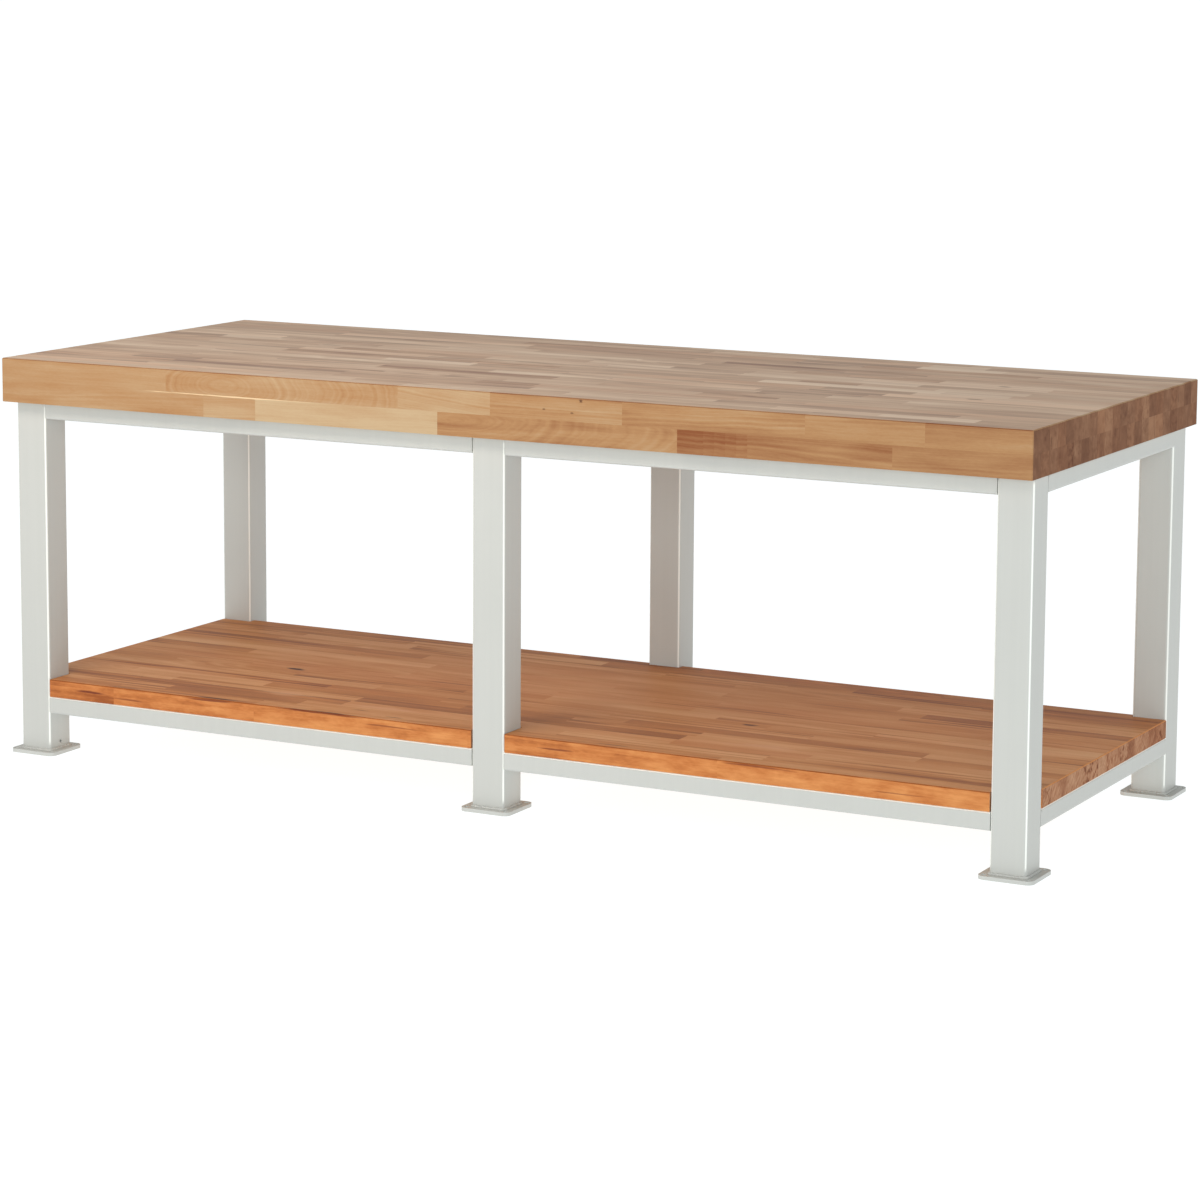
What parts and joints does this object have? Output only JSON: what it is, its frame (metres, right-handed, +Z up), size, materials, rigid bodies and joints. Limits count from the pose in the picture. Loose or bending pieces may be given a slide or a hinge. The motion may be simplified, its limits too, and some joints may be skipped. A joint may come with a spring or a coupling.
{
  "type": "assembly table",
  "caption": "Heavy assembly table: thick laminated beech worktop and a notched beech shelf on a light grey square-tube steel frame with bolt-down base plates.",
  "frame": {"origin": "on the floor, under the middle of the worktop", "axes": "+X along the table to the right, +Y to the rear, +Z up; the front is -Y"},
  "size_m": [2.52, 1, 0.92],
  "materials": {
    "worktop_beech": "oiled laminated beech",
    "shelf_beech": "oiled laminated beech, redder",
    "frame_paint": "light grey powder coat",
    "zinc_fasteners": "bright zinc plated"
  },
  "bodies": {
    "root": {"worktop_upper_layer": "worktop_beech", "worktop_lower_layer": "worktop_beech", "shelf_board": "shelf_beech", "leg_front_left": "frame_paint", "leg_rear_left": "frame_paint", "leg_front_middle": "frame_paint", "leg_rear_middle": "frame_paint", "leg_front_right": "frame_paint", "leg_rear_right": "frame_paint", "base_plate_front_left": "frame_paint", "base_plate_rear_left": "frame_paint", "base_plate_front_middle": "frame_paint", "base_plate_rear_middle": "frame_paint", "base_plate_front_right": "frame_paint", "base_plate_rear_right": "frame_paint", "upper_cross_rail_left": "frame_paint", "upper_cross_rail_middle": "frame_paint", "upper_cross_rail_right": "frame_paint", "lower_cross_rail_left": "frame_paint", "lower_cross_rail_middle": "frame_paint", "lower_cross_rail_right": "frame_paint", "upper_rail_front_left": "frame_paint", "upper_rail_front_right": "frame_paint", "upper_rail_rear_left": "frame_paint", "upper_rail_rear_right": "frame_paint", "lower_rail_front_left": "frame_paint", "lower_rail_front_right": "frame_paint", "lower_rail_rear_left": "frame_paint", "lower_rail_rear_right": "frame_paint", "foot_welds": "frame_paint", "cross_rail_welds": "frame_paint", "rail_spigots": "frame_paint", "worktop_lugs": "frame_paint", "shelf_lugs": "frame_paint", "rail_bolts": "zinc_fasteners", "rail_washers": "zinc_fasteners", "rail_nuts": "zinc_fasteners", "worktop_screws": "zinc_fasteners", "shelf_screws": "zinc_fasteners"}
  },
  "joints": []
}
